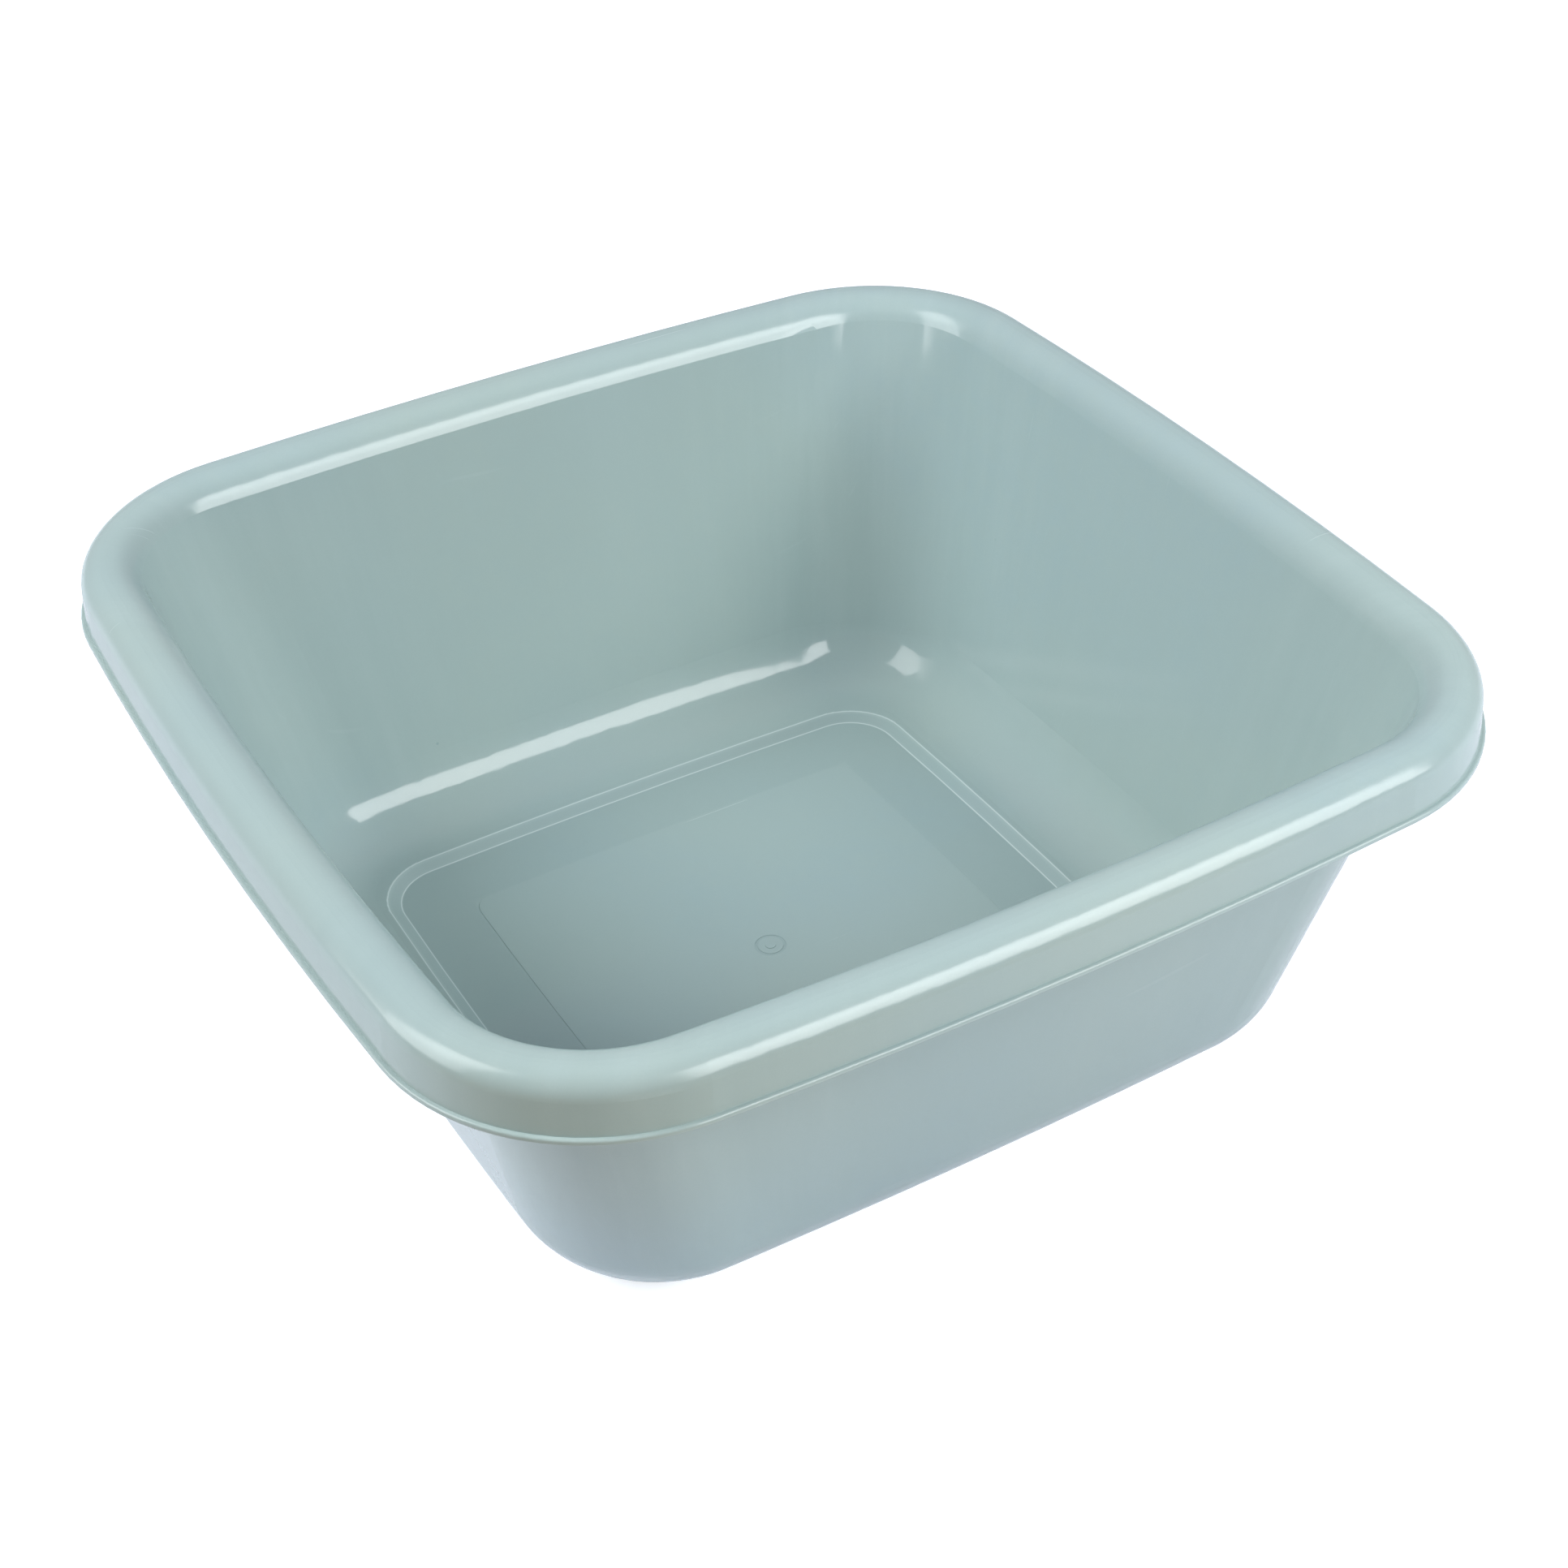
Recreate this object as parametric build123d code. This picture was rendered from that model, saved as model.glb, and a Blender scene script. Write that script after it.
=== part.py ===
from build123d import *
import os
from math import atan2, cos, pi, radians, sqrt, tan

# A square washing up bowl, moulded in one piece. It stands on the plane z = 0,
# with its middle on the z axis. All sizes are in millimetres.

# Overall sizes
bowl_width = 320.0            # across the lip, from the middle of one side to the other
bowl_height = 127.0           # from the table to the top of the rim
wall = 2.8                    # thickness of the walls, the rim and the skirt
floor_thickness = 2.4
overrun = 5.0                 # how far a cut runs past the faces that it opens

# Lip outline, seen from above: four sides that bow out a little, and round corners
lip_side_radius = 1720.0
lip_corner_radius = 60.0

# Rim, from outside to inside
lip_height = 1.8              # the thin bead along the bottom of the skirt
lip_edge_radius = 0.6
skirt_inset = 1.0             # the foot of the skirt stands this far in from the lip
skirt_lean = 4.0              # degrees from upright, towards the bowl
skirt_depth = 17.0            # from the top of the rim to the underside of the lip
outer_roll_radius = 6.2
inner_roll_radius = 9.4
crest_share = 0.95            # most of the rim's top that the inner roll may take
rim_overhang = 14.4           # from the lip in to the outside of the wall, at rim height

# Walls, measured on their outside
wall_lean = 13.3              # degrees from upright, in the middle of a side
wall_top_corner_radius = 42.0
wall_base_corner_radius = 42.5
wall_base_side_radius = 3000.0
base_fillet_radius = 27.0
base_fillet_share = 0.9       # largest fillet, as a share of the corner that it goes round

# Floor: a ledge all round, then a step down to a flat panel
step_height = 2.0
step_width = 4.2
step_edge_radius = 1.8
ledge_width = 2.0             # flat ledge between the wall fillet and the step
panel_side_radius = 2300.0
panel_corner_radius = 20.0

# Square field in the middle of the panel, raised a little, with a hollow under it
field_margin = 20.5           # from the foot of the step to the field
field_corner_radius = 6.0
field_rise = 0.15
field_hollow = 0.9            # height of the hollow above the table
field_edge_radius = 0.1

# Gate mark in the middle of the floor, and the stub of the sprue under it
gate_ring_radius = 4.3
gate_ring_width = 0.8
gate_ring_depth = 0.12
gate_pip_radius = 1.6
gate_pip_height = 0.2
sprue_radius = 2.2
sprue_clearance = 0.4         # from the stub down to the table


def corner_reach(half_width, corner_radius):
    """How far the tip of a round corner lies from the middle, for straight sides."""
    return sqrt(2) * (half_width - corner_radius) + corner_radius


# Sizes that follow
lean = radians(wall_lean)
lean_turn = (pi / 2 - lean) / 2
wall_across = wall / cos(lean)
skirt_slope = radians(skirt_lean)
skirt_turn = (pi / 2 - skirt_slope) / 2
skirt_across = wall / cos(skirt_slope)
lip_half = bowl_width / 2
skirt_bottom = bowl_height - skirt_depth
skirt_top_inset = skirt_inset + skirt_depth * tan(skirt_slope)
wall_height = bowl_height - step_height
wall_top_half = lip_half - rim_overhang
wall_base_half = wall_top_half - wall_height * tan(lean)
wall_top_side_radius = lip_side_radius - rim_overhang
corner_overhang = corner_reach(lip_half, lip_corner_radius) - corner_reach(wall_top_half, wall_top_corner_radius)
crest_start = skirt_top_inset + outer_roll_radius * tan(skirt_turn)
crest_width = min(rim_overhang, corner_overhang) + wall_across - crest_start
inner_roll = min(inner_roll_radius, crest_share * crest_width / tan(lean_turn))
base_fillet = min(base_fillet_radius, base_fillet_share * wall_base_corner_radius)
inner_fillet = base_fillet - wall
ledge_level = step_height + floor_thickness
cavity_foot_half = wall_base_half + floor_thickness * tan(lean) - wall_across
panel_top_half = cavity_foot_half - inner_fillet * tan(lean_turn) - ledge_width
panel_half = panel_top_half - step_width
step_shift = floor_thickness * tan(atan2(step_height, step_width) / 2)
field_half = panel_half - field_margin
field_level = floor_thickness + field_rise
edge_slack = lip_edge_radius / 10


def outline(half_width, side_radius, corner_radius, level):
    """Flat face with four bowed sides and round corners that run into them."""
    span = side_radius - half_width
    reach = side_radius - corner_radius
    middle = (sqrt(2 * reach**2 - span**2) - span) / 2
    far = middle + corner_radius * (middle + span) / reach
    near = middle + corner_radius * middle / reach
    tip = middle + corner_radius * sqrt(1 / 2)
    side = ThreePointArc((far, -near), (half_width, 0), (far, near))
    corner = ThreePointArc((far, near), (tip, tip), (near, far))
    edges = [edge.rotate(Axis.Z, 90 * turn) for turn in range(4) for edge in (side, corner)]
    return Pos(0, 0, level) * make_face(edges)


def lip_outline(inset, level):
    """Outline that lies a given distance inside the lip."""
    return outline(lip_half - inset, lip_side_radius - inset, lip_corner_radius - inset, level)


def skirt_outline(inset, level):
    """Section of the skirt's outside at a level, drawn in by an inset."""
    return lip_outline(skirt_inset + (level - skirt_bottom) * tan(skirt_slope) + inset, level)


def wall_outline(inset, level):
    """Section of the wall's outside at a level, drawn in by an inset."""
    share = (level - step_height) / wall_height
    half_width = wall_base_half + share * (wall_top_half - wall_base_half)
    side_radius = wall_base_side_radius + share * (wall_top_side_radius - wall_base_side_radius)
    corner_radius = wall_base_corner_radius + share * (wall_top_corner_radius - wall_base_corner_radius)
    return outline(half_width - inset, side_radius - inset, corner_radius - inset, level)


def panel_outline(inset, level):
    """Outline that lies a given distance inside the top edge of the floor's step."""
    return outline(panel_top_half - inset, panel_side_radius - inset, panel_corner_radius - inset, level)


def field_outline(level):
    """Outline of the square field in the middle of the floor."""
    return outline(field_half, panel_side_radius, field_corner_radius, level)


def lies_at(box, level):
    """True when a box is flat and at the level."""
    return box.min.Z > level - edge_slack and box.max.Z < level + edge_slack


def edges_at(solid, level):
    """Edges that lie flat at one level."""
    return ShapeList(edge for edge in solid.edges() if lies_at(edge.bounding_box(), level))


def face_at(solid, level):
    """Largest flat face that a solid has at one level."""
    faces = ShapeList(face for face in solid.faces() if lies_at(face.bounding_box(), level))
    return faces.sort_by(SortBy.AREA)[-1]


def outer_edges(solid, level):
    """Edges round the outside of the flat face at one level."""
    return face_at(solid, level).outer_wire().edges()


def inner_edges(solid, level):
    """Edges round the opening in the flat face at one level."""
    return face_at(solid, level).inner_wires()[0].edges()


def wall_block():
    """The body as a solid block: tapered, with a large round along its bottom edge."""
    block = loft([wall_outline(0, step_height), wall_outline(0, bowl_height)], ruled=True)
    return fillet(edges_at(block, step_height), base_fillet)


def cavity():
    """The space inside the walls, down to the ledge, open at the top."""
    mouth = wall_outline(wall_across, bowl_height + overrun)
    space = loft([wall_outline(wall_across, ledge_level), mouth], ruled=True)
    return fillet(edges_at(space, ledge_level), inner_fillet)


def rim_block():
    """The rolled rim and its skirt as a solid slab, with the bead of the lip round its bottom."""
    slab = loft([skirt_outline(0, skirt_bottom), skirt_outline(0, bowl_height)], ruled=True)
    slab = fillet(edges_at(slab, bowl_height), outer_roll_radius)
    lip = extrude(lip_outline(0, skirt_bottom), lip_height)
    lip = fillet(edges_at(lip, skirt_bottom) + edges_at(lip, skirt_bottom + lip_height), lip_edge_radius)
    return slab + lip


def finger_channel(block):
    """The space under the rim, between the skirt and the wall, open at the bottom."""
    start = skirt_bottom - overrun
    top = bowl_height - wall
    channel = loft([skirt_outline(skirt_across, start), skirt_outline(skirt_across, top)], ruled=True)
    channel = fillet(edges_at(channel, top), outer_roll_radius - wall) - block
    return fillet(inner_edges(channel, top), inner_roll - wall)


def shell():
    """Walls, ledge and rolled rim, all one wall thick."""
    block = wall_block()
    body = block + rim_block() - finger_channel(block) - cavity()
    return fillet(inner_edges(body, bowl_height), inner_roll)


def foot():
    """The pad under the floor panel that the bowl stands on, with the hollow under the field."""
    sole = panel_outline(step_width - step_shift, 0)
    pad = loft([sole, panel_outline(-step_shift, step_height)], ruled=True)
    return pad - extrude(field_outline(-overrun), overrun + field_hollow)


def panel_space():
    """What the step takes out of the floor, less the raised field."""
    space = loft([panel_outline(step_width, floor_thickness), panel_outline(0, ledge_level)], ruled=True)
    field = extrude(field_outline(floor_thickness), field_rise)
    field = fillet(edges_at(field, field_level), field_edge_radius)
    return space - field


def gate_mark():
    """Shallow ring that the gate leaves on the floor, as the space that it takes out."""
    outer = Cylinder(gate_ring_radius + gate_ring_width / 2, gate_ring_depth + overrun)
    inner = Cylinder(gate_ring_radius - gate_ring_width / 2, gate_ring_depth + overrun)
    return Pos(0, 0, field_level - gate_ring_depth + (gate_ring_depth + overrun) / 2) * (outer - inner)


def gate_pip():
    """Small round pip in the middle of the gate mark."""
    return Pos(0, 0, field_level) * Cylinder(gate_pip_radius, 2 * gate_pip_height)


def sprue_stub():
    """What is left of the sprue, inside the hollow under the floor."""
    return Pos(0, 0, field_hollow) * Cylinder(sprue_radius, 2 * (field_hollow - sprue_clearance))


def bowl():
    """The whole bowl, one moulding."""
    body = shell() + foot() - panel_space()
    step_edges = inner_edges(body, ledge_level) + outer_edges(body, floor_thickness)
    foot_edges = inner_edges(body, step_height) + outer_edges(body, 0)
    body = fillet(step_edges + foot_edges, step_edge_radius)
    return body - gate_mark() + gate_pip() + sprue_stub()


os.makedirs("parts", exist_ok=True)
moulding = bowl()
moulding.label = "bowl"
export_step(moulding, "parts/bowl.step")
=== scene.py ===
import bpy
from math import cos, pi, radians, sin, tan
from mathutils import Matrix, Vector


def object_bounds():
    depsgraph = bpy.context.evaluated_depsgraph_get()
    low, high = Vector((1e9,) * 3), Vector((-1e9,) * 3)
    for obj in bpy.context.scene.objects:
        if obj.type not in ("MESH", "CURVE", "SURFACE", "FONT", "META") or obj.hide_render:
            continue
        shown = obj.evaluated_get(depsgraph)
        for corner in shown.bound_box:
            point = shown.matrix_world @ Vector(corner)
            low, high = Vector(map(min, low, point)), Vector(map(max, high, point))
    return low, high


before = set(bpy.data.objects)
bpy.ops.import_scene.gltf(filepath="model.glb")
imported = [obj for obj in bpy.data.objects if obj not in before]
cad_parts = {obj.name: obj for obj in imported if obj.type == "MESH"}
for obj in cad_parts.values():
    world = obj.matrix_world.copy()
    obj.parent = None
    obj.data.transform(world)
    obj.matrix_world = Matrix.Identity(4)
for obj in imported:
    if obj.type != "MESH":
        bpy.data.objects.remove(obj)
cad_low, cad_high = [list(corner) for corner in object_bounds()]

IMAGE_SIDE = 1932             # pixels, the photograph is square
SENSOR_WIDTH = 36.0           # mm


# Camera, at the photograph's viewing angle

VIEW_AZIMUTH = radians(-30.927)
VIEW_ELEVATION = radians(36.687)
VIEW_ROLL = radians(-0.872)
VIEW_DISTANCE = 0.77952
VIEW_TARGET = Vector((0.02685, -0.00415, 0.061))
FOCAL_PIXELS = 3303.8         # focal length in pixels of the photograph
AXIS_PIXEL = (1049.2, 945.7)  # where the lens axis meets the photograph


def direction(azimuth, elevation):
    """Unit vector; azimuth 0 points to -Y and grows towards +X."""
    return Vector((sin(azimuth) * cos(elevation), -cos(azimuth) * cos(elevation), sin(elevation)))


def add_camera():
    """Camera that sees the bowl as the photograph does."""
    back = direction(VIEW_AZIMUTH, VIEW_ELEVATION)
    right = Vector((0, 0, 1)).cross(back).normalized()
    up = back.cross(right)
    turned_right = cos(VIEW_ROLL) * right + sin(VIEW_ROLL) * up
    turned_up = cos(VIEW_ROLL) * up - sin(VIEW_ROLL) * right
    lens = bpy.data.cameras.new("photo_camera")
    lens.sensor_width = SENSOR_WIDTH
    lens.lens = SENSOR_WIDTH * FOCAL_PIXELS / IMAGE_SIDE
    lens.shift_x = (IMAGE_SIDE / 2 - AXIS_PIXEL[0]) / IMAGE_SIDE
    lens.shift_y = (AXIS_PIXEL[1] - IMAGE_SIDE / 2) / IMAGE_SIDE
    camera = bpy.data.objects.new("photo_camera", lens)
    camera.matrix_world = Matrix.Translation(VIEW_TARGET + VIEW_DISTANCE * back) @ Matrix(
        (turned_right, turned_up, back)).transposed().to_4x4()
    bpy.context.scene.collection.objects.link(camera)
    bpy.context.scene.camera = camera


# Nodes

WHITE = (1, 1, 1, 1)


def add_node(tree, kind, **inputs):
    """Shader node with some of its sockets set; underscores stand for spaces."""
    node = tree.nodes.new(kind)
    for name, value in inputs.items():
        node.inputs[name.replace("_", " ")].default_value = value
    return node


def calculate(tree, operation, *values, clamp=False):
    """Math node; each value is a number or another node's output."""
    node = tree.nodes.new("ShaderNodeMath")
    node.operation = operation
    node.use_clamp = clamp
    for socket, value in zip(node.inputs, values):
        if isinstance(value, (int, float)):
            socket.default_value = value
        else:
            tree.links.new(value, socket)
    return node.outputs[0]


def product(tree, first, *others):
    """Product of two or more values."""
    for other in others:
        first = calculate(tree, "MULTIPLY", first, other)
    return first


def ramp(tree, value, start, end, low=0.0, high=1.0):
    """Smooth change from low to high, while the value goes from start to end."""
    node = add_node(tree, "ShaderNodeMapRange", From_Min=start, From_Max=end, To_Min=low, To_Max=high)
    node.interpolation_type = "SMOOTHSTEP"
    tree.links.new(value, node.inputs["Value"])
    return node.outputs["Result"]


def between(tree, value, bottom, top, fade):
    """1 from the bottom to the top of a range, 0 where it has faded out past them."""
    return product(tree, ramp(tree, value, bottom - fade, bottom), ramp(tree, value, top + fade, top))


def band(tree, value, middle, half_width):
    """1 in the middle of a band, 0 outside it."""
    off = calculate(tree, "ABSOLUTE", calculate(tree, "SUBTRACT", value, middle))
    return ramp(tree, off, half_width, half_width / 3)


def tint(tree, base, other, amount):
    """Base colour mixed with another by an amount."""
    node = tree.nodes.new("ShaderNodeMix")
    node.data_type = "RGBA"
    for socket, value in zip((node.inputs[0], node.inputs[6], node.inputs[7]), (amount, base, other)):
        if isinstance(value, (int, float, tuple)):
            socket.default_value = value
        else:
            tree.links.new(value, socket)
    return node.outputs[2]


def along_direction(tree, vector, heading):
    """How far a vector reaches in a fixed direction."""
    node = add_node(tree, "ShaderNodeVectorMath")
    node.operation = "DOT_PRODUCT"
    node.inputs[1].default_value = heading
    tree.links.new(vector, node.inputs[0])
    return node.outputs["Value"]


def mirrored_ray(tree, path):
    """1 for what is seen in a gloss or through something clear."""
    return calculate(tree, "MAXIMUM", path.outputs["Is Glossy Ray"], path.outputs["Is Transmission Ray"])


# Lights: a lamp on each side lights the bowl, and a taller soft box in front of it shows in the gloss

LAMP_DISTANCE = 1.0           # metres from the bowl to each lamp, along the floor
GLOSS_DISTANCE = 0.97         # and to each soft box
RIGHT_LAMP_AZIMUTH = radians(31)
RIGHT_GLOSS_AZIMUTH = radians(23.5)
RIGHT_HALF_ANGLE = radians(23.5)
RIGHT_LAMP_LOW = radians(26)
RIGHT_LAMP_HIGH = radians(46)
RIGHT_GLOSS_LOW = radians(8)
RIGHT_GLOSS_HIGH = radians(47)
RIGHT_LAMP = 10.9             # how bright each lamp is, where 1 is white
RIGHT_GLOSS = 6.3
LEFT_LAMP_AZIMUTH = radians(-110)
LEFT_GLOSS_AZIMUTH = radians(-103)
LEFT_HALF_ANGLE = radians(20)
LEFT_LAMP_LOW = radians(32)
LEFT_LAMP_HIGH = radians(58)
LEFT_GLOSS_LOW = radians(10)
LEFT_GLOSS_HIGH = radians(59)
LEFT_LAMP = 11.7
LEFT_GLOSS = 4.0


def add_box(name, distance, azimuth, half_angle, low, high, radiance):
    """Upright lamp that fills a given angle as seen from the bowl."""
    width = 2 * distance * tan(half_angle)
    bottom = distance * tan(low)
    top = distance * tan(high)
    away = direction(azimuth, 0)
    lamp = bpy.data.lights.new(name, "AREA")
    lamp.shape = "RECTANGLE"
    lamp.size = width
    lamp.size_y = top - bottom
    lamp.energy = radiance * width * (top - bottom) * pi
    panel = bpy.data.objects.new(name, lamp)
    place = distance * away + Vector((0, 0, (bottom + top) / 2))
    panel.matrix_world = Matrix.Translation(place) @ away.to_track_quat("Z", "Y").to_matrix().to_4x4()
    bpy.context.scene.collection.objects.link(panel)
    return panel


def add_lights():
    """Lamps that light the bowl, and soft boxes that only its gloss sees."""
    for lamp in (
            add_box("right_lamp", LAMP_DISTANCE, RIGHT_LAMP_AZIMUTH, RIGHT_HALF_ANGLE, RIGHT_LAMP_LOW,
                    RIGHT_LAMP_HIGH, RIGHT_LAMP),
            add_box("left_lamp", LAMP_DISTANCE, LEFT_LAMP_AZIMUTH, LEFT_HALF_ANGLE, LEFT_LAMP_LOW,
                    LEFT_LAMP_HIGH, LEFT_LAMP)):
        lamp.visible_glossy = False
    for box in (
            add_box("right_gloss", GLOSS_DISTANCE, RIGHT_GLOSS_AZIMUTH, RIGHT_HALF_ANGLE, RIGHT_GLOSS_LOW,
                    RIGHT_GLOSS_HIGH, RIGHT_GLOSS),
            add_box("left_gloss", GLOSS_DISTANCE, LEFT_GLOSS_AZIMUTH, LEFT_HALF_ANGLE, LEFT_GLOSS_LOW,
                    LEFT_GLOSS_HIGH, LEFT_GLOSS)):
        box.visible_diffuse = False


# World: white to the camera, and weak light from all round

SKY = (0.8, 0.96, 1.22, 1)    # tint of that light
SKY_SHARE = 0.6               # how much of what the gloss sees lights the bowl
DARK_SIDE = 0.15              # what the gloss sees behind the camera
WHITE_SIDE = 0.5              # what the gloss sees behind the bowl
SIDE_BLEND = 0.6              # how far off the middle each side is at its full level


def add_world():
    """White where the camera sees it; pale behind the bowl and dark behind the camera in the gloss."""
    world = bpy.data.worlds.new("studio")
    world.use_nodes = True
    tree = world.node_tree
    tree.nodes.clear()
    path = add_node(tree, "ShaderNodeLightPath")
    sight = add_node(tree, "ShaderNodeTexCoord")
    behind = along_direction(tree, sight.outputs["Generated"], direction(VIEW_AZIMUTH + pi, 0))
    side = ramp(tree, behind, -SIDE_BLEND, SIDE_BLEND, DARK_SIDE, WHITE_SIDE)
    share = calculate(tree, "MAXIMUM", mirrored_ray(tree, path), SKY_SHARE)
    level = calculate(tree, "MAXIMUM", product(tree, share, side), path.outputs["Is Camera Ray"])
    background = add_node(tree, "ShaderNodeBackground")
    output = add_node(tree, "ShaderNodeOutputWorld")
    tree.links.new(tint(tree, WHITE, SKY, path.outputs["Is Diffuse Ray"]), background.inputs["Color"])
    tree.links.new(level, background.inputs["Strength"])
    tree.links.new(background.outputs[0], output.inputs["Surface"])
    bpy.context.scene.world = world


# Floor

FLOOR_SIDE = 8.0
FLOOR_DROP = 0.0002                   # keeps it clear of the bowl's underside
FLOOR_COLOR = (0.64, 0.68, 0.76, 1)
FRONT_COLOR = (0.52, 0.44, 0.33, 1)   # where it comes nearer to the camera
FRONT_START = 0.17
FRONT_END = 0.34
NEAR_GLOW = 0.72                      # share of the floor's white that no shadow darkens, by the bowl
NEAR_RADIUS = 0.25
FAR_RADIUS = 0.8
GLOSS_SHARE = 0.45                    # how much of that white the gloss sees


def paint_floor():
    """Matt paint that keeps the bowl's shadow, with a white glow that only the camera and the gloss see."""
    paint = bpy.data.materials.new("floor_white")
    paint.use_nodes = True
    tree = paint.node_tree
    tree.nodes.clear()
    path = add_node(tree, "ShaderNodeLightPath")
    place = add_node(tree, "ShaderNodeTexCoord").outputs["Object"]
    distance = add_node(tree, "ShaderNodeVectorMath")
    distance.operation = "LENGTH"
    tree.links.new(place, distance.inputs[0])
    towards = along_direction(tree, place, direction(VIEW_AZIMUTH, 0))
    front = ramp(tree, towards, FRONT_START, FRONT_END)
    white = ramp(tree, distance.outputs["Value"], NEAR_RADIUS, FAR_RADIUS, NEAR_GLOW, 1.0)
    white = calculate(tree, "ADD", white, product(tree, front, 1 - NEAR_GLOW))
    share = calculate(tree, "SUBTRACT", GLOSS_SHARE, product(tree, front, GLOSS_SHARE))
    mirrored = product(tree, mirrored_ray(tree, path), share)
    seen = calculate(tree, "MAXIMUM", mirrored, path.outputs["Is Camera Ray"])
    matt = add_node(tree, "ShaderNodeBsdfDiffuse")
    tree.links.new(tint(tree, FLOOR_COLOR, FRONT_COLOR, front), matt.inputs["Color"])
    glow = add_node(tree, "ShaderNodeEmission", Color=WHITE)
    both = add_node(tree, "ShaderNodeAddShader")
    output = add_node(tree, "ShaderNodeOutputMaterial")
    tree.links.new(product(tree, seen, white), glow.inputs["Strength"])
    tree.links.new(matt.outputs[0], both.inputs[0])
    tree.links.new(glow.outputs[0], both.inputs[1])
    tree.links.new(both.outputs[0], output.inputs["Surface"])
    return paint


def add_floor():
    """Plain pale floor that is white further away."""
    bpy.ops.mesh.primitive_plane_add(size=FLOOR_SIDE, location=(0, 0, -FLOOR_DROP))
    floor = bpy.context.object
    floor.name = "floor"
    floor.data.materials.append(paint_floor())


# Places on the bowl that the plastic's marks keep to, in metres as in the frame

BOWL_HALF = cad_high[0]               # from the middle to the lip
RIM_TOP = cad_high[2]
RIM_START = RIM_TOP - 0.008           # hands dull the rim above this
RIM_END = RIM_TOP - 0.0035            # and dull it fully above this
LIP_BOTTOM = RIM_TOP - 0.017
LIP_TOP = LIP_BOTTOM + 0.0018
LIP_FADE = 0.0004
WALL_REACH = BOWL_HALF - 0.0175       # the wall lies inside this at the lip's height
LIP_REACH = BOWL_HALF - 0.0145
LEDGE_LEVEL = 0.0044
PANEL_LEVEL = 0.0024
STEP_ROUND = 0.00009                  # height from each end of the step to the middle of its rounded edge
STEP_EDGE = 0.00008                   # half the height of that edge
STEP_FOOT = PANEL_LEVEL + STEP_ROUND
STEP_HEAD = LEDGE_LEVEL - STEP_ROUND
STEP_NEAR = 0.004                     # the step lies outside the field by more than this
STEP_FAR = 0.008
FIELD_HALF = 0.0679                   # the raised field in the middle of the floor
FIELD_LEVEL = PANEL_LEVEL + 0.00015
FIELD_BOW = 2.3                       # radius of its sides, which bow out
FIELD_BLUR = 0.0012                   # how softly its blasting ends
FIELD_EDGE = 0.0006
FLOOR_FADE = 0.0006                   # height over which the floor's marks end
PANEL_UNDER = 0.0005                  # how far they reach below the panel
PANEL_OVER = 0.0002
FIELD_UNDER = 0.0006
FIELD_OVER = 0.00045
GATE_RADIUS = 0.0043                  # the ring of the gate mark
GATE_WIDTH = 0.0008
SOLE_LEVEL = 0.0003                   # what rubs on the table lies below this
SOLE_FADE = 0.0003


def bowed_reach(tree, x, y):
    """How far a point lies from the middle, on squares whose sides bow out as the field's do."""
    reach = 0.0
    for across, along in ((x, y), (y, x)):
        bow = product(tree, along, along, 1 / (2 * FIELD_BOW))
        side = calculate(tree, "ADD", calculate(tree, "ABSOLUTE", across), bow)
        reach = calculate(tree, "MAXIMUM", reach, side)
    return reach


def field_mask(tree, reach, z):
    """1 on the raised field of the floor, on its upper side."""
    inside = ramp(tree, reach, FIELD_HALF + FIELD_BLUR, FIELD_HALF - FIELD_BLUR)
    height = between(tree, z, FIELD_LEVEL - FIELD_UNDER, FIELD_LEVEL + FIELD_OVER, FLOOR_FADE)
    return product(tree, inside, height)


def field_side_mask(tree, reach, z):
    """1 on the low side faces of the raised field."""
    middle = (PANEL_LEVEL + FIELD_LEVEL) / 2
    height = band(tree, z, middle, FIELD_LEVEL - middle)
    return product(tree, band(tree, reach, FIELD_HALF, FIELD_EDGE), height)


def step_masks(tree, reach, z):
    """The two rounded edges of the floor's step, and the slope between them."""
    outside = ramp(tree, reach, FIELD_HALF + STEP_NEAR, FIELD_HALF + STEP_FAR)
    foot = band(tree, z, STEP_FOOT, STEP_EDGE)
    head = band(tree, z, STEP_HEAD, STEP_EDGE)
    slope = band(tree, z, (STEP_FOOT + STEP_HEAD) / 2, (STEP_HEAD - STEP_FOOT) / 2)
    return product(tree, calculate(tree, "MAXIMUM", foot, head), outside), product(tree, slope, outside)


def gate_mask(tree, x, y, field):
    """1 on the ring that the gate leaves in the middle of the field."""
    square = calculate(tree, "ADD", product(tree, x, x), product(tree, y, y))
    return product(tree, band(tree, calculate(tree, "SQRT", square), GATE_RADIUS, GATE_WIDTH), field)


def lip_mask(tree, reach, z):
    """1 on the outside of the lip."""
    height = between(tree, z, LIP_BOTTOM, LIP_TOP, LIP_FADE)
    return product(tree, height, ramp(tree, reach, WALL_REACH, LIP_REACH))


# Marks in the plastic. A noise is given by its scale, its detail and, where it isn't one half, its roughness

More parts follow.
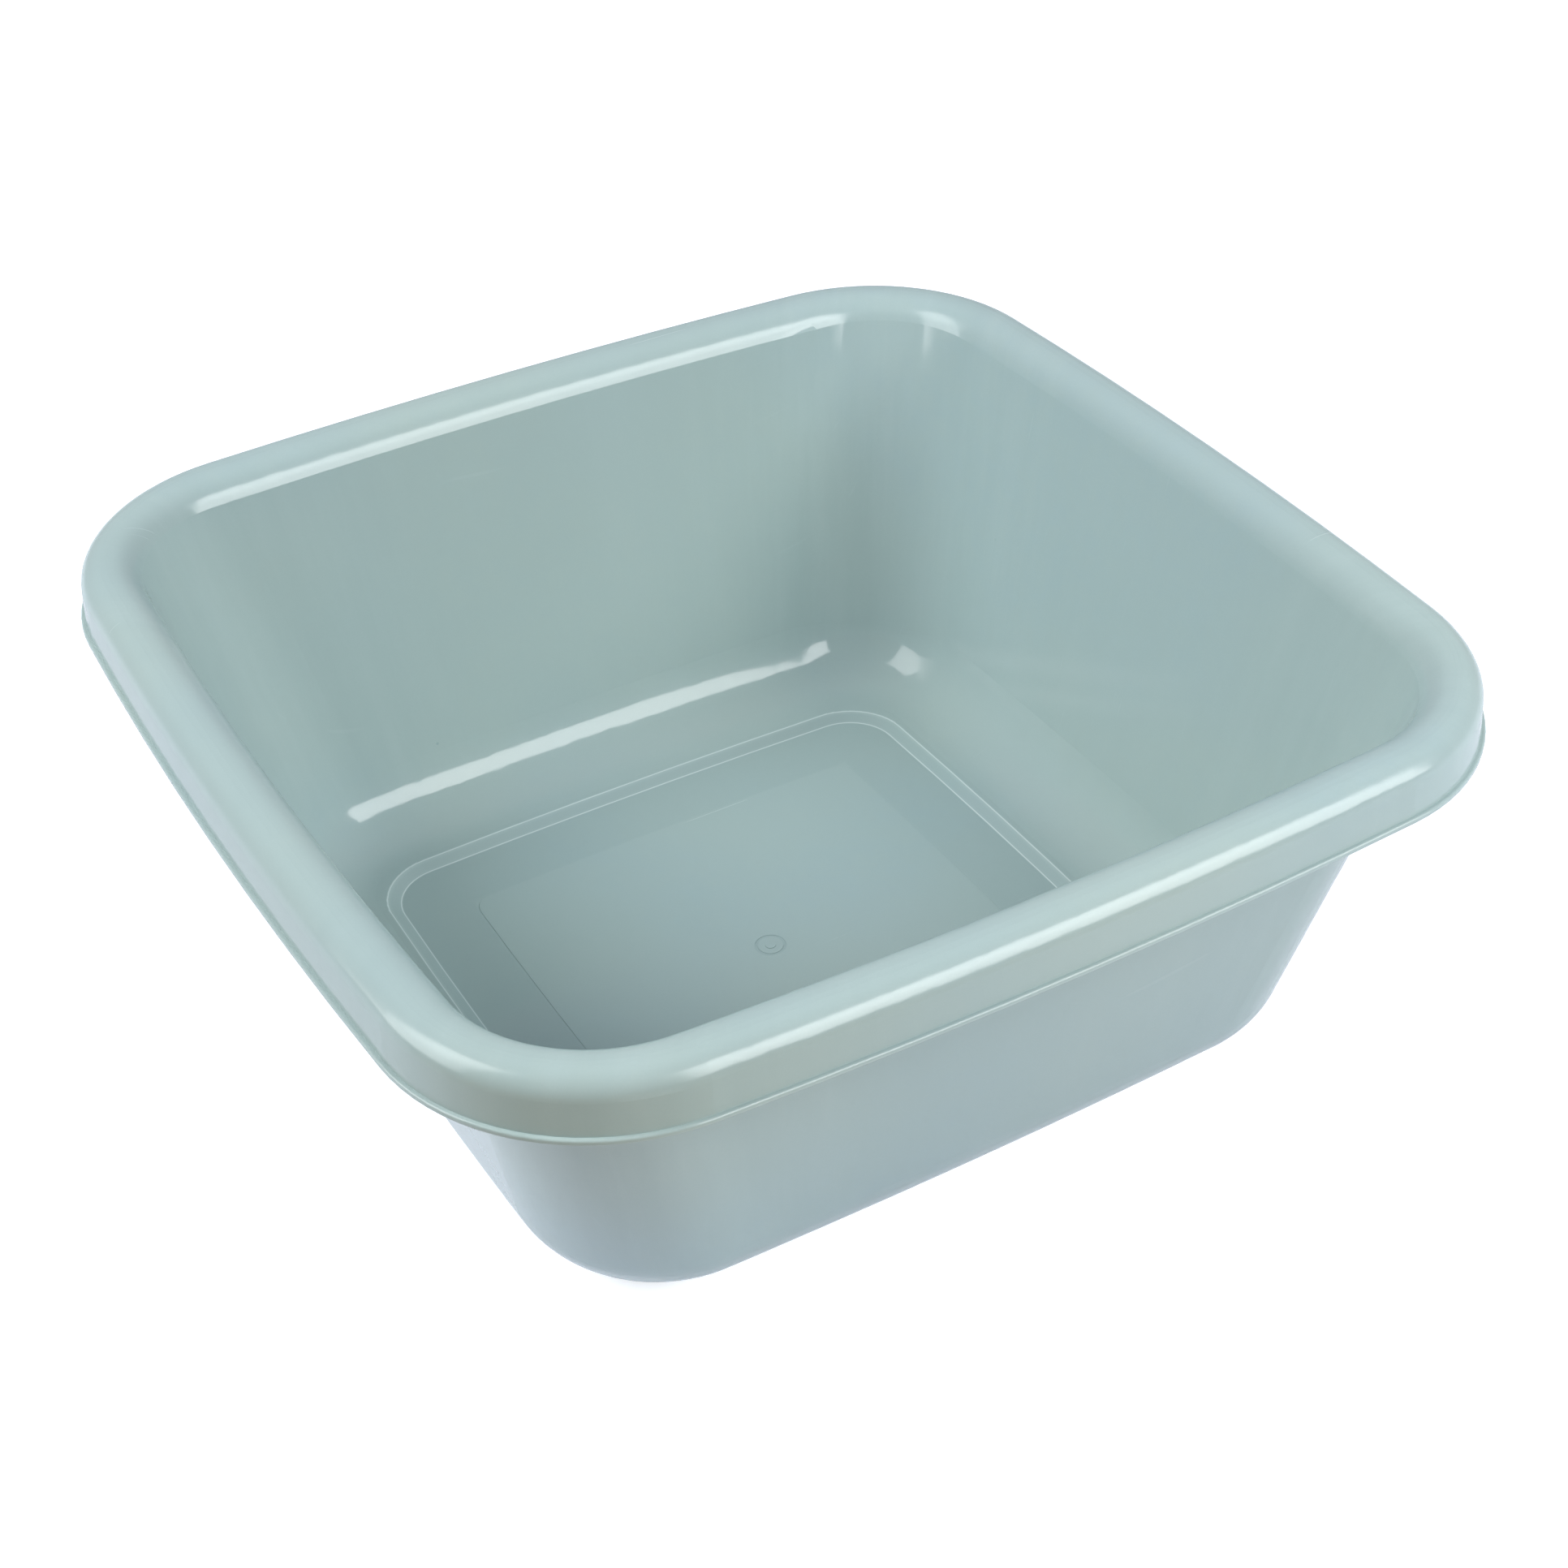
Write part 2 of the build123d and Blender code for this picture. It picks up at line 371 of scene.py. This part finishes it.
NOISE_LOW = 0.3                       # nearly all of a noise lies between these
NOISE_HIGH = 0.7
NOISE_MIDDLE = 0.5
DRIFT_NOISE = (11.0, 1.0)
MOTTLE_NOISE = (140.0, 3.0, 0.6)
GRAIN_NOISE = (1900.0, 1.0)
GRAIN_SHARE = 0.2                     # how strong the grain is beside the streaks
STREAK_NOISE = (9.0, 4.0, 0.7)
STREAK_CLIMB = 0.7                    # how fast the streaks change up the wall
STREAK_START = 0.005                  # they fade in over this height
STREAK_FULL = 0.03
SIDE_STREAKS = 0.25                   # how strong they are away from the corners
CORNER_START = 0.25                   # product of the two parts of a heading, 0.5 at a corner
CORNER_FULL = 0.5
SCRATCH_NOISE = (1.0, 1.0)
SCRATCH_SETS = ((0.5, 0.0), (2.2, 3.0), (1.3, 7.0))   # turn in radians, and where the noise starts
SCRATCH_STRETCH = (14.0, 900.0, 60.0)
SCRATCH_START = 0.78
SCRATCH_FULL = 0.84
SPECK_CELLS = 38.0                    # cells per metre, one speck at most in each
SPECK_EDGE = 0.030
SPECK_CORE = 0.018
SPECK_CHOICE = 0.72                   # share of the cells that have none
RUB_NOISE = (1.0, 3.0)
RUB_TURN = 0.4
RUB_STRETCH = (60.0, 420.0, 60.0)
RUB_START = 0.42
RUB_FULL = 0.62


def add_noise(tree, vector, scale, detail, roughness=0.5):
    """Value of a noise texture, about 0.5."""
    node = add_node(tree, "ShaderNodeTexNoise", Scale=scale, Detail=detail, Roughness=roughness)
    tree.links.new(vector, node.inputs["Vector"])
    return node.outputs["Fac"]


def stretched(tree, vector, turn, stretch, start=(0, 0, 0)):
    """Coordinates turned about the upright axis and stretched along one direction."""
    node = add_node(tree, "ShaderNodeMapping", Location=start, Rotation=(0, 0, turn), Scale=stretch)
    tree.links.new(vector, node.inputs["Vector"])
    return node.outputs["Vector"]


def flow_streaks(tree, x, y, z):
    """Streaks that the melt leaves as it runs outwards from the gate and up the walls."""
    flat = add_node(tree, "ShaderNodeCombineXYZ")
    tree.links.new(x, flat.inputs["X"])
    tree.links.new(y, flat.inputs["Y"])
    heading = tree.nodes.new("ShaderNodeVectorMath")
    heading.operation = "NORMALIZE"
    tree.links.new(flat.outputs[0], heading.inputs[0])
    split = tree.nodes.new("ShaderNodeSeparateXYZ")
    tree.links.new(heading.outputs[0], split.inputs[0])
    along = add_node(tree, "ShaderNodeCombineXYZ")
    tree.links.new(split.outputs["X"], along.inputs["X"])
    tree.links.new(split.outputs["Y"], along.inputs["Y"])
    tree.links.new(product(tree, z, STREAK_CLIMB), along.inputs["Z"])
    streak = add_noise(tree, along.outputs[0], *STREAK_NOISE)
    corner = calculate(tree, "ABSOLUTE", product(tree, split.outputs["X"], split.outputs["Y"]))
    strength = product(tree, ramp(tree, corner, CORNER_START, CORNER_FULL, SIDE_STREAKS, 1.0),
                       ramp(tree, z, STREAK_START, STREAK_FULL))
    return streak, strength


def scratches(tree, place):
    """Hairline scratches in three directions, as a mask."""
    mask = 0.0
    for turn, start in SCRATCH_SETS:
        vector = stretched(tree, place, turn, SCRATCH_STRETCH, (start, start, start))
        lines = ramp(tree, add_noise(tree, vector, *SCRATCH_NOISE), SCRATCH_START, SCRATCH_FULL)
        mask = calculate(tree, "MAXIMUM", mask, lines)
    return mask


def specks(tree, place):
    """A few pin-head specks in the plastic, as a mask."""
    cells = add_node(tree, "ShaderNodeTexVoronoi", Scale=SPECK_CELLS)
    tree.links.new(place, cells.inputs["Vector"])
    kept = tree.nodes.new("ShaderNodeSeparateColor")
    tree.links.new(cells.outputs["Color"], kept.inputs[0])
    small = ramp(tree, cells.outputs["Distance"], SPECK_EDGE, SPECK_CORE)
    return product(tree, small, calculate(tree, "GREATER_THAN", kept.outputs[0], SPECK_CHOICE))


def rubbed_sole(tree, place, sole):
    """Rub marks on what the bowl stands on, as a mask."""
    noise = add_noise(tree, stretched(tree, place, RUB_TURN, RUB_STRETCH), *RUB_NOISE)
    return product(tree, sole, ramp(tree, noise, RUB_START, RUB_FULL))


# Plastic: glossy moulded polypropylene

SAGE = (0.36, 0.46, 0.45, 1)
COOL_SAGE = (0.345, 0.452, 0.462, 1)
WARM_SAGE = (0.372, 0.468, 0.448, 1)
PALE_SCUFF_AND_HIGHLIGHT = (0.56, 0.66, 0.65, 1)          # scuffed and scratched plastic, and painted highlights and painted light on the step's edges, the field's low sides and the lip
# darker plastic in the flow streaks and specks, and painted shade on the floor's border, the step's slope
# and the gate ring
DEEP_SPECK_AND_SHADE = (0.24, 0.33, 0.34, 1)
MOTTLE_TINT = (0.2, 0.6)              # least and most of plain sage over the drift
STREAK_TINT = 0.4                     # how much of a pale or deep tint each mark has
# painted shade: the floor's border round the field is painted darker
BORDER_SHADE = 0.18
# painted shade: the step's slope is painted darker
SLOPE_SHADE = 0.3
# painted highlights along the step's two rounded edges
STEP_HIGHLIGHT = 0.9
# painted light that lifts the shade on the field's low side faces
SIDE_PAINTED_LIGHT = 0.5
# painted shade: the gate mark's ring is painted darker
GATE_SHADE = 0.25
SCRATCH_TINT = 0.08
SPECK_TINT = 0.5
# painted highlight: the outside of the lip is painted paler
LIP_HIGHLIGHT = 0.12
RUB_TINT = 0.5
GLOSS = 0.09                          # roughness of the polished mould
GLOSS_LESS = 0.02                     # how far the mottle takes it down and up
GLOSS_MORE = 0.03
FIELD_GLOSS = 0.20                    # roughness of the finely blasted field
RIM_GLOSS = 0.20                      # roughness of the rim, dulled by hands
SCRATCH_DULLING = 0.10
SOLE_DULLING = 0.3
WAVE_NOISE = (75.0, 2.0)
WAVE_BUMP = (0.5, 0.00004)            # strength of each bump, and its height in metres
FLOW_BUMP = (0.35, 0.00006)
CUT_BUMP = (0.3, 0.00003)
BLAST_NOISE = (1500.0, 2.0)
BLAST_BUMP = (0.4, 0.00001)


def add_bump(tree, under, height, strength, distance, sunk=False):
    """Bump laid over the normal of an earlier one, if there is one."""
    node = add_node(tree, "ShaderNodeBump", Strength=strength, Distance=distance)
    node.invert = sunk
    tree.links.new(height, node.inputs["Height"])
    if under is not None:
        tree.links.new(under, node.inputs["Normal"])
    return node.outputs["Normal"]


def make_plastic():
    """Grey-green polypropylene with the marks of its mould and of light use, and painted shade and
    highlights on the floor's border, step, field sides and gate ring and on the lip.
    """
    paint = bpy.data.materials.new("sage_plastic")
    paint.use_nodes = True
    tree = paint.node_tree
    bsdf = tree.nodes["Principled BSDF"]
    place = tree.nodes.new("ShaderNodeTexCoord").outputs["Object"]
    parts = tree.nodes.new("ShaderNodeSeparateXYZ")
    tree.links.new(place, parts.inputs[0])
    x, y, z = parts.outputs[0], parts.outputs[1], parts.outputs[2]

    mottle = add_noise(tree, place, *MOTTLE_NOISE)
    streak, streak_strength = flow_streaks(tree, x, y, z)
    scratch = scratches(tree, place)
    reach = bowed_reach(tree, x, y)
    field = field_mask(tree, reach, z)
    panel = between(tree, z, PANEL_LEVEL - PANEL_UNDER, PANEL_LEVEL + PANEL_OVER, FLOOR_FADE)
    border = calculate(tree, "SUBTRACT", panel, field, clamp=True)
    step_edges, step_slope = step_masks(tree, reach, z)
    sole = ramp(tree, z, SOLE_LEVEL + SOLE_FADE, SOLE_LEVEL)
    rim = ramp(tree, z, RIM_START, RIM_END)

    drift = ramp(tree, add_noise(tree, place, *DRIFT_NOISE), NOISE_LOW, NOISE_HIGH)
    color = tint(tree, COOL_SAGE, WARM_SAGE, drift)
    color = tint(tree, color, SAGE, ramp(tree, mottle, NOISE_LOW, NOISE_HIGH, *MOTTLE_TINT))
    shade = product(tree, calculate(tree, "SUBTRACT", streak, NOISE_MIDDLE), streak_strength)
    grain = calculate(tree, "SUBTRACT", add_noise(tree, place, *GRAIN_NOISE), NOISE_MIDDLE)
    shade = calculate(tree, "ADD", shade, product(tree, grain, GRAIN_SHARE))
    for other, mask, amount in (
            (PALE_SCUFF_AND_HIGHLIGHT, shade, STREAK_TINT),
            (DEEP_SPECK_AND_SHADE, shade, -STREAK_TINT),
            # painted shade on the floor's border
            (DEEP_SPECK_AND_SHADE, border, BORDER_SHADE),
            # painted shade on the step's slope
            (DEEP_SPECK_AND_SHADE, step_slope, SLOPE_SHADE),
            # painted highlights on the step's rounded edges
            (PALE_SCUFF_AND_HIGHLIGHT, step_edges, STEP_HIGHLIGHT),
            # painted light on the field's low side faces
            (PALE_SCUFF_AND_HIGHLIGHT, field_side_mask(tree, reach, z), SIDE_PAINTED_LIGHT),
            # painted shade in the gate mark's ring
            (DEEP_SPECK_AND_SHADE, gate_mask(tree, x, y, field), GATE_SHADE),
            (PALE_SCUFF_AND_HIGHLIGHT, scratch, SCRATCH_TINT),
            (DEEP_SPECK_AND_SHADE, specks(tree, place), SPECK_TINT),
            # painted highlight on the outside of the lip
            (PALE_SCUFF_AND_HIGHLIGHT, lip_mask(tree, reach, z), LIP_HIGHLIGHT),
            (PALE_SCUFF_AND_HIGHLIGHT, rubbed_sole(tree, place, sole), RUB_TINT)):
        color = tint(tree, color, other, calculate(tree, "MULTIPLY", mask, amount, clamp=True))
    tree.links.new(color, bsdf.inputs["Base Color"])

    rough = ramp(tree, mottle, NOISE_LOW, NOISE_HIGH, GLOSS - GLOSS_LESS, GLOSS + GLOSS_MORE)
    for mask, change in (
            (field, FIELD_GLOSS - GLOSS),
            (rim, RIM_GLOSS - GLOSS),
            (scratch, SCRATCH_DULLING),
            (sole, SOLE_DULLING)):
        rough = calculate(tree, "ADD", rough, product(tree, mask, change))
    tree.links.new(rough, bsdf.inputs["Roughness"])

    normal = add_bump(tree, None, add_noise(tree, place, *WAVE_NOISE), *WAVE_BUMP)
    normal = add_bump(tree, normal, product(tree, streak, streak_strength), *FLOW_BUMP)
    normal = add_bump(tree, normal, scratch, *CUT_BUMP, sunk=True)
    normal = add_bump(tree, normal, product(tree, add_noise(tree, place, *BLAST_NOISE), field), *BLAST_BUMP)
    tree.links.new(normal, bsdf.inputs["Normal"])
    return paint


add_camera()
add_lights()
add_world()
add_floor()
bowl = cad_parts["bowl"]
bowl.material_slots[0].material = make_plastic()
bpy.context.scene.view_settings.view_transform = "Standard"
